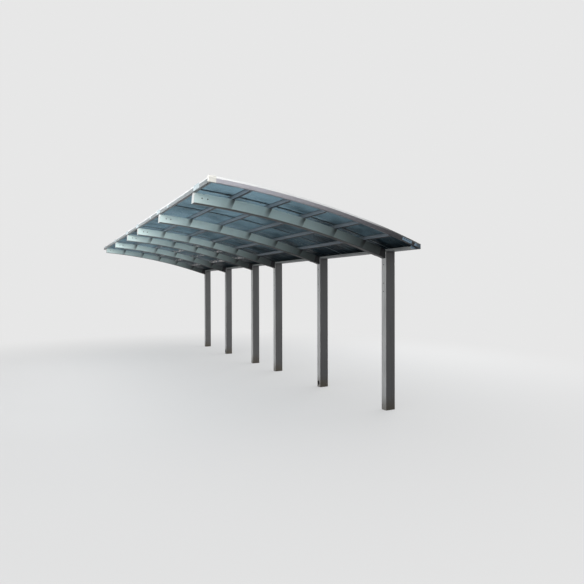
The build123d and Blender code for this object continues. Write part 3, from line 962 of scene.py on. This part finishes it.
def moulded(name, colour, roughness, dirt):
    """Moulded plastic: fine grain, a little yellowing, and patchy dirt."""
    finish = Finish(name, colour)
    age = finish.noise(2.3, detail=3.0).rise(0.4, 0.7)
    dust = finish.noise(34.0, detail=5.0, roughness=0.7).rise(0.5, 0.75)
    finish.layer(age * 0.35, shaded(colour, 0.82))
    finish.layer(dust * dirt, GRIME)
    finish.wave(finish.noise(700.0, detail=2.0), 0.00008)
    return finish.paint(dust * 0.2 + roughness)


def eave_coating():
    """The eave's coat: a painted white highlight along its rounded top, grey below it, and painted shade on
    the underside.
    """
    finish, grime, film = weathered("eave_coating", linear(134, 140, 142), (6, 0.4, 6), 0.2)
    _, above = roof_places(finish)
    # Painted shade on the underside.
    finish.layer(finish.facing_z.rise(-0.55, -0.9) * 0.85, linear(112, 112, 116))
    # Painted highlight: a white line along the rounded top.
    over_face = above - (EAVE_HEIGHT - EAVE_SHOULDER)
    finish.layer(over_face.rise(-0.008, -0.003), linear(222, 224, 224))
    return finish.coat(grime * 0.3 + film * 0.2 + 0.42)


def plate_finish():
    """Bare aluminium plates of the rear corner with a painted blue reflection of the sky, and painted shade
    beside the gutter.
    """
    # The blue in this colour is a painted reflection of the sky.
    finish, grime, film = weathered("plate_finish", linear(148, 174, 194), (3, 3, 3), 0.25)
    # Painted shade beside the gutter.
    finish.layer(finish.x.rise(-0.04, 0.0) * 0.9, linear(82, 94, 104))
    lines = finish.noise(1.0, (20, 260, 260), 2.0)
    finish.wave(lines, 0.00008)
    return finish.paint(grime * 0.3 + film * 0.2 + 0.34, 0.1)


def gutter_coating():
    """The frame's coat with a brown tide of leaf dirt on the trough's floor, and painted shade on its
    underside.
    """
    finish, grime, _ = weathered("gutter_coating", linear(150, 153, 153), (6, 0.4, 6), 0.35)
    # Painted shade on the underside.
    finish.layer(finish.facing_z.rise(-0.5, -0.9) * 0.85, linear(78, 82, 87))
    inside = finish.facing_z.rise(0.5, 0.9) * (finish.z - POST_HEIGHT).rise(0.03, 0.012)
    mud = finish.noise(5.0, (1, 0.5, 1), 5.0, 0.65).rise(0.3, 0.55)
    finish.layer(inside * mud * 0.85, linear(58, 50, 38))
    finish.wave(finish.noise(600.0, detail=3.0) + inside * mud * finish.noise(60.0) * 6, 0.0003)
    return finish.paint(grime * 0.3 + inside * 0.2 + 0.46, COAT_METALLIC)


def rubber():
    """Black rubber with dust on it."""
    finish = Finish("seal_rubber", linear(30, 30, 31))
    dust = finish.noise(60.0, detail=4.0).rise(0.45, 0.8)
    finish.wave(finish.noise(500.0), 0.0001)
    finish.layer(dust * 0.35, linear(74, 72, 68))
    return finish.paint(dust * 0.15 + 0.62)


def head_finish():
    """Black heads of bolts and screws with grime in their grain."""
    finish = Finish("plug_black", linear(36, 36, 38))
    grime = finish.noise(220.0, detail=3.0).rise(0.45, 0.7)
    finish.wave(finish.noise(1500.0), 0.00005)
    finish.layer(grime * 0.45, GRIME)
    return finish.paint(grime * 0.25 + 0.55)


def dry_litter():
    """Dull brown flakes of two tones."""
    finish = Finish("dry_litter", linear(72, 60, 46))
    finish.layer(finish.noise(40.0, detail=2.0).rise(0.35, 0.65), linear(112, 98, 76))
    return finish.paint(0.85)


FINISHES = {
    "beam": beam_coating(),
    "gable": gable_coating(),
    "post": post_coating(),
    "purlin": purlin_coating(),
    "eave": eave_coating(),
    "bar": drawn_coating("bar_coating", linear(118, 120, 121), 0.45, linear(112, 132, 142)),
    "shoe": drawn_coating("shoe_coating", linear(46, 46, 49), 0.35),
    "plate": plate_finish(),
    "gutter": gutter_coating(),
    "sheet": tinted_sheet(),
    "cream": moulded("cream_plastic", linear(228, 226, 219), 0.42, 0.18),
    "cap": moulded("cap_plastic", linear(190, 193, 192), 0.42, 0.2),
    "bluish": moulded("bluish_plastic", linear(176, 188, 192), 0.4, 0.2),
    "black": moulded("black_plastic", linear(34, 34, 35), 0.5, 0.3),
    "rubber": rubber(),
    "head": head_finish(),
    "litter": dry_litter(),
}

# Main sections


def make_beams():
    half = BEAM_WIDTH / 2
    outline = rectangle(-half, half, -BEAM_DEPTH, 0, BEAM_CORNER)
    row = row_of(POSTS_PER_MODULE, POST_PITCH, POSTS[0])
    start, end = turn_along(BEAM_SETBACK), turn_at(POST_FRONT - BEAM_REVEAL)
    arched("beams", [outline], start, end, row, "beam", numbered("beam", len(POSTS)))


def groove(outline, middle):
    """Add a fine groove to an outline whose face is at 0 across."""
    low, high = middle - GROOVE_WIDTH / 2, middle + GROOVE_WIDTH / 2
    outline += [(0, low, EDGE_EASE), (GROOVE_DEPTH, low, 0), (GROOVE_DEPTH, high, 0), (0, high, EDGE_EASE)]


def make_gable_edges():
    for label, (outer, inward) in zip(("near", "far"), GABLES):
        outline = [(0, GABLE_BASE, CORNER_EASE)]
        band = GABLE_HEIGHT - GABLE_SHOULDER_HEIGHT - GABLE_BASE
        for number in range(GABLE_RIBS):
            groove(outline, GABLE_BASE + band * (number + 0.5) / GABLE_RIBS)
        outline += [
            (0, GABLE_HEIGHT - GABLE_SHOULDER_HEIGHT, GABLE_SHOULDER_ROUND),
            (GABLE_SHOULDER_DEPTH, GABLE_HEIGHT, GABLE_SHOULDER_ROUND),
            (GABLE_WIDTH, GABLE_HEIGHT, CORNER_EASE),
            (GABLE_WIDTH, SLOT_TOP, EDGE_EASE),
            (GABLE_WIDTH - GABLE_SLOT_DEPTH, SLOT_TOP, 0),
            (GABLE_WIDTH - GABLE_SLOT_DEPTH, SLOT_LOW, 0),
            (GABLE_WIDTH, SLOT_LOW, EDGE_EASE),
            (GABLE_WIDTH, GABLE_BASE, CORNER_EASE),
        ]
        loop = [(outer + inward * across, height, radius) for across, height, radius in outline]
        node = f"gable_edge_{label}"
        start = turn_along(GABLE_START)
        arched(node + "_profile", [loop], start, GABLE_END, ONE, "gable", [node])


def make_sheets():
    names = numbered("roof_sheet", SHEET_COUNT)
    loops = []
    for name in names:
        low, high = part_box(name)
        loops.append(rectangle(low.y, high.y, SHEET_LOW, SHEET_TOP, 0))
    start = turn_along(EAVE_DEPTH - SHEET_LAP)
    arched("roof_sheets", loops, start, ROOF_END, ONE, "sheet", names)


def make_bars():
    """Bars between two sheets: a web that stands on a foot, under a cap with eased edges."""
    web = BAR_WEB / 2
    half = BAR_FOOT_WIDTH / 2
    base = BAR_FOOT_TOP - BAR_FOOT
    foot = [
        (-web, BAR_FOOT_TOP, 0),
        (-half, BAR_FOOT_TOP, 0),
        (-half, base, EDGE_EASE),
        (half, base, EDGE_EASE),
        (half, BAR_FOOT_TOP, 0),
        (web, BAR_FOOT_TOP, 0),
    ]
    half = BAR_CAP_WIDTH / 2
    low = SHEET_TOP + SEAT
    top = low + BAR_CAP
    cap = [
        (web, low, 0),
        (half, low, 0),
        (half, top, BAR_CAP_ROUND),
        (-half, top, BAR_CAP_ROUND),
        (-half, low, 0),
        (-web, low, 0),
    ]
    start = turn_along(EAVE_DEPTH + SEAT)
    names = numbered("glazing_bars", MODULES)
    arched("glazing_bars", [foot + cap], start, ROOF_END, BAR_ROW, "bar", names)


def make_eave():
    outline = [(0, SEAT, CORNER_EASE)]
    face = EAVE_HEIGHT - EAVE_SHOULDER
    for number in range(EAVE_RIBS):
        groove(outline, face * (number + EAVE_RIB_START) / EAVE_RIBS)
    outline += [
        (0, EAVE_HEIGHT, EAVE_SHOULDER),
        (EAVE_DEPTH, EAVE_HEIGHT, CORNER_EASE),
        (EAVE_DEPTH, SLOT_TOP, 0),
        (EAVE_DEPTH - SHEET_LAP, SLOT_TOP, 0),
        (EAVE_DEPTH - SHEET_LAP, SLOT_LOW, 0),
        (EAVE_DEPTH, SLOT_LOW, 0),
        (EAVE_DEPTH, SEAT, CORNER_EASE),
    ]
    for name in numbered("eave_profile", MODULES):
        low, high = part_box(name)
        mesh = straight(name, [on_roof(outline)], low.y, high.y, "eave")
        piece(name + "_section", mesh, [name])


def make_purlins():
    names = numbered("purlin", PURLIN_COUNT)
    loops = []
    for number in range(1, PURLIN_COUNT + 1):
        middle = PURLIN_PITCH * number
        half = PURLIN_WIDTH / 2
        head = PURLIN_HEAD_WIDTH / 2
        neck = PURLIN_TOP - PURLIN_HEAD
        outline = [
            (middle - half, SEAT, CORNER_EASE),
            (middle + half, SEAT, CORNER_EASE),
            (middle + half, neck, 0),
            (middle + head, neck, EDGE_EASE),
            (middle + head, PURLIN_TOP, EDGE_EASE),
            (middle - head, PURLIN_TOP, EDGE_EASE),
            (middle - head, neck, EDGE_EASE),
            (middle - half, neck, 0),
        ]
        loops.append(on_roof(outline))
    low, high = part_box(names[0])
    half_joint = JOINT_BOX_WIDTH / 2 + SEAT
    spans = ((low.y, MODULE_JOINT - half_joint), (MODULE_JOINT + half_joint, high.y))
    meshes = [straight("purlins", loops, *span, "purlin") for span in spans]
    piece("purlins", joined(meshes), names)


def make_seals():
    """Rubber lips where the sheets enter the gable edges and the eave, and along each bar."""
    loops = []
    for outer, inward in GABLES:
        mouth = outer + inward * GABLE_WIDTH
        lip = mouth + inward * SEAL_WIDTH
        for low in SEAL_LEVELS:
            loops.append(rectangle(mouth, lip, low, low + SEAL_HEIGHT, SEAL_ROUND))
    start = turn_along(GABLE_START)
    arched("gable_seals", loops, start, ROOF_END, ONE, "rubber")
    loops = []
    for side in (1, -1):
        for edge, low in ((BAR_CAP_WIDTH / 2, SHEET_TOP), (BAR_FOOT_WIDTH / 2, SHEET_LOW - SEAL_LIP)):
            lip = side * (edge + BAR_SEAL_WIDTH)
            loops.append(rectangle(side * edge, lip, low, low + SEAL_LIP, 0))
    start = turn_along(EAVE_DEPTH + SEAT)
    arched("bar_seals", loops, start, ROOF_END, BAR_ROW, "rubber")
    loops = []
    for low in SEAL_LEVELS:
        outline = rectangle(EAVE_DEPTH, EAVE_DEPTH + SEAL_WIDTH, low, low + SEAL_HEIGHT, SEAL_ROUND)
        loops.append(on_roof(outline))
    low_y = NEAR_GABLE + GABLE_WIDTH + SEAT
    mesh = straight("eave_seals", loops, low_y, FAR_GABLE - GABLE_WIDTH - SEAT, "rubber")
    piece("eave_seals", mesh)


CAD_FINISHES = {
    "beam_shoes": "shoe",
    "drain_outlets": "black",
    "rear_gutter_1": "gutter",
    "rear_gutter_2": "gutter",
    "rear_corner_plates": "plate",
    "gutter_end_caps": "plate",
    "module_joint": "bar",
    **{node: "post" for node in numbered("post", len(POSTS))},
}


def ease_caps():
    """Rounded edges for the beams' end caps and the fittings on the eave's face."""
    eased("beam_end_caps", "cap", END_CAP_EASE)
    eased("eave_cover_plates", "bluish", PLATE_EASE)
    eased("eave_clips", "bluish", PLATE_EASE)


def make_corner_caps():
    """Moulded caps on the front corners, with a shoulder in line with the gable edges' own."""
    top = GABLE_HEIGHT + CAP_PROUD
    corners = [(0, CAP_BASE, CAP_ROUND), (CAP_LENGTH, CAP_BASE, 0), (CAP_LENGTH, top, 0), (0, top, CAP_ROUND)]
    meshes = []
    for outer, inward in GABLES:
        sides = sorted((outer - inward * CAP_PROUD, outer + inward * GABLE_WIDTH))
        meshes.append(straight("front_corner_cap", [on_roof(corners)], *sides, "cream"))
    mesh = joined(meshes)
    work = opened(mesh)
    turn = turn_along(CAP_LENGTH / 2)
    x, z = roof_point(turn, GABLE_HEIGHT - GABLE_SHOULDER_HEIGHT)
    for outer, inward in GABLES:
        across = Vector((0, -inward * GABLE_SHOULDER_HEIGHT, 0))
        outward = across + Vector((math.sin(turn), 0, math.cos(turn))) * GABLE_SHOULDER_DEPTH
        outward.normalize()
        place = Vector((x, outer, z)) + outward * CAP_PROUD
        parts = work.verts[:] + work.edges[:] + work.faces[:]
        cut = bmesh.ops.bisect_plane(work, geom=parts, plane_co=place, plane_no=outward, clear_outer=True)
        rim = [item for item in cut["geom_cut"] if isinstance(item, bmesh.types.BMEdge)]
        bmesh.ops.edgeloop_fill(work, edges=rim)
    bmesh.ops.recalc_face_normals(work, faces=work.faces)
    mesh = bevelled("front_corner_caps_rough", closed(work, mesh), CAP_EASE, SHOULDER_EDGE)
    piece("front_corner_caps_eased", mesh, ["front_corner_caps"])


def make_fixings():
    """Bolts at the beams' front ends, screws down the posts and along the rear corner plates."""
    places = []
    for post in POSTS:
        for x in BOLT_PLACES:
            for side in (-1, 1):
                bolt_x, z = roof_point(turn_at(x), BOLT_LEVEL)
                places.append(((bolt_x, post + side * BEAM_WIDTH / 2, z), (0, side, 0)))
    heads("beam_bolts", places, BOLT_RADIUS)
    places = [((POST_FRONT, post, z), (-1, 0, 0)) for post in POSTS for z in POST_SCREW_HEIGHTS]
    heads("post_screws", places, POST_SCREW_RADIUS)
    places = []
    start = turn_at(POST_FRONT - REAR_PLATE_REACH)
    for outer, inward in GABLES:
        face = outer - inward * (SEAT + REAR_PLATE_THICKNESS)
        for step in PLATE_SCREW_STEPS:
            x, z = roof_point(start + step / BEAM_RADIUS, PLATE_SCREW_LEVEL)
            places.append(((x, face, z), (0, -inward, 0)))
    heads("rear_plate_screws", places, PLATE_SCREW_RADIUS)


def beside_bars(width):
    """Strips of this width on the sheets, on both sides of each bar's cap."""
    steps = range(ROOF_LITTER_STEPS)
    turns = [turn_along(ROOF_LITTER_START + ROOF_LITTER_STEP * step) for step in steps]
    spots = [roof_point(turn, SHEET_TOP + SEAT) for turn in turns]
    edge = BAR_CAP_WIDTH / 2 + BAR_SEAL_WIDTH
    patches = []
    for module in range(MODULES):
        for number in range(BARS_PER_MODULE):
            bar = NEAR_GABLE + module * MODULE_LENGTH + BAR_OVERHANG + number * BAR_PITCH
            for side in (-1, 1):
                sides = sorted((bar + side * edge, bar + side * edge + side * width))
                patches.append([[(x, y, z) for x, z in spots] for y in sides])
    return strips(patches)


def make_litter():
    """Dry flakes that collect on the sheets beside the bars' caps and on the gutter's floor."""
    flakes("roof_litter", beside_bars(ROOF_LITTER_WIDTH), *ROOF_LITTER)
    flakes("bar_litter", beside_bars(BAR_LITTER_WIDTH), *BAR_LITTER)
    patches = []
    floor = POST_HEIGHT + SEAT + GUTTER_WALL + SEAT
    for module in range(MODULES):
        outlet = POSTS[module * POSTS_PER_MODULE + OUTLET_POST]
        low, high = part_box(f"rear_gutter_{module + 1}")
        sides = (high.x - LITTER_MARGIN, low.x + LITTER_MARGIN)
        before = (low.y + LITTER_MARGIN, outlet - OUTLET_CLEAR)
        behind = (outlet + OUTLET_CLEAR, high.y - LITTER_MARGIN)
        for ends in (before, behind):
            patches.append([[(x, y, floor) for y in ends] for x in sides])
    flakes("gutter_litter", strips(patches), *GUTTER_LITTER)


def finish_cad_nodes():
    for node, finish in CAD_FINISHES.items():
        materials = frame["nodes"][node].data.materials
        materials.clear()
        materials.append(FINISHES[finish])


finish_cad_nodes()
make_beams()
make_gable_edges()
make_sheets()
make_bars()
make_eave()
make_purlins()
make_seals()
ease_caps()
make_corner_caps()
make_fixings()
make_litter()


def add_camera():
    yaw, pitch, roll = CAMERA_YAW, CAMERA_PITCH, CAMERA_ROLL
    right = Vector((math.cos(yaw), -math.sin(yaw), 0))
    ahead = Vector((math.sin(yaw) * math.cos(pitch), math.cos(yaw) * math.cos(pitch), math.sin(pitch)))
    up = right.cross(ahead)
    level_right = math.cos(roll) * right + math.sin(roll) * up
    level_up = -math.sin(roll) * right + math.cos(roll) * up
    turn = Matrix((level_right, level_up, -ahead)).transposed()
    data = bpy.data.cameras.new("camera")
    data.lens = CAMERA_LENS
    data.sensor_width = CAMERA_SENSOR
    camera = in_scene("camera", data)
    camera.matrix_world = Matrix.Translation(CAMERA_PLACE) @ turn.to_4x4()
    bpy.context.scene.camera = camera


def softbox(name, place, aim, size, energy):
    """Rectangular lamp that the camera doesn't see."""
    data = bpy.data.lights.new(name, "AREA")
    data.shape = "RECTANGLE"
    data.size, data.size_y = size
    data.energy = energy
    lamp = in_scene(name, data)
    lamp.location = place
    lamp.rotation_euler = (Vector(aim) - lamp.location).to_track_quat("-Z", "Y").to_euler()
    lamp.visible_camera = False


def seen_ray(net):
    """1 for the rays that show the background: to the camera, or by way of metal and glass."""
    path = net.node("ShaderNodeLightPath")
    seen = Value(net, path.outputs["Is Camera Ray"]).most(Value(net, path.outputs["Is Glossy Ray"]))
    return seen.most(Value(net, path.outputs["Is Transmission Ray"]))


def add_light():
    """Sky from above, a row of soft lamps before the open front, one at the gable and one behind."""
    world = bpy.context.scene.world or bpy.data.worlds.new("world")
    bpy.context.scene.world = world
    world.use_nodes = True
    net = Net(world.node_tree)
    net.tree.nodes.clear()
    direction = net.node("ShaderNodeTexCoord").outputs["Generated"]
    height = Value(net, net.node("ShaderNodeSeparateXYZ", sockets={0: direction}).outputs[2])
    level = height.rise(*SKY_RISE) * SKY_LEVEL + HORIZON_LEVEL
    lit = net.glow("ShaderNodeBackground", SKY_COLOUR, level)
    white = net.glow("ShaderNodeBackground", WHITE, BACKDROP_LEVEL)
    net.node("ShaderNodeOutputWorld", sockets={0: net.blend(seen_ray(net), lit, white)})
    for number, post in enumerate(POSTS, 1):
        place = FRONT_LIGHT_OFFSET + Vector((0, post, 0))
        energy = FRONT_LIGHT_ENERGY - FRONT_LIGHT_STEP * number
        softbox(f"front_light_{number}", place, place + FRONT_LIGHT_AIM, FRONT_LIGHT_SIZE, energy)
    for name, lamp in LAMPS.items():
        softbox(name, *lamp)


def add_floor():
    """Pale floor that fades into the backdrop, keeps the shadow and throws little light upwards."""
    mesh = bpy.data.meshes.new("floor")
    reach = FLOOR_REACH
    corners = [(-reach, -reach, 0), (reach, -reach, 0), (reach, reach, 0), (-reach, reach, 0)]
    mesh.from_pydata(corners, [], [(0, 1, 2, 3)])
    finish = Finish("floor_paint", FLOOR_LIT)
    seen = seen_ray(finish)
    away = ((finish.x - FLOOR_MIDDLE[0]) ** 2 + (finish.y - FLOOR_MIDDLE[1]) ** 2) ** 0.5
    finish.layer(seen, FLOOR_SEEN)
    finish.paint(FLOOR_ROUGHNESS)
    white = finish.glow("ShaderNodeEmission", WHITE, BACKDROP_LEVEL)
    share = seen * (away.rise(*FLOOR_FADE) * 0.5 + 0.5)
    mesh.materials.append(finish.cover(finish.blend(share, finish.shader.outputs[0], white)))
    floor = in_scene("floor", mesh)


add_camera()
add_light()
add_floor()
scene = bpy.context.scene
scene.view_settings.view_transform = "Standard"
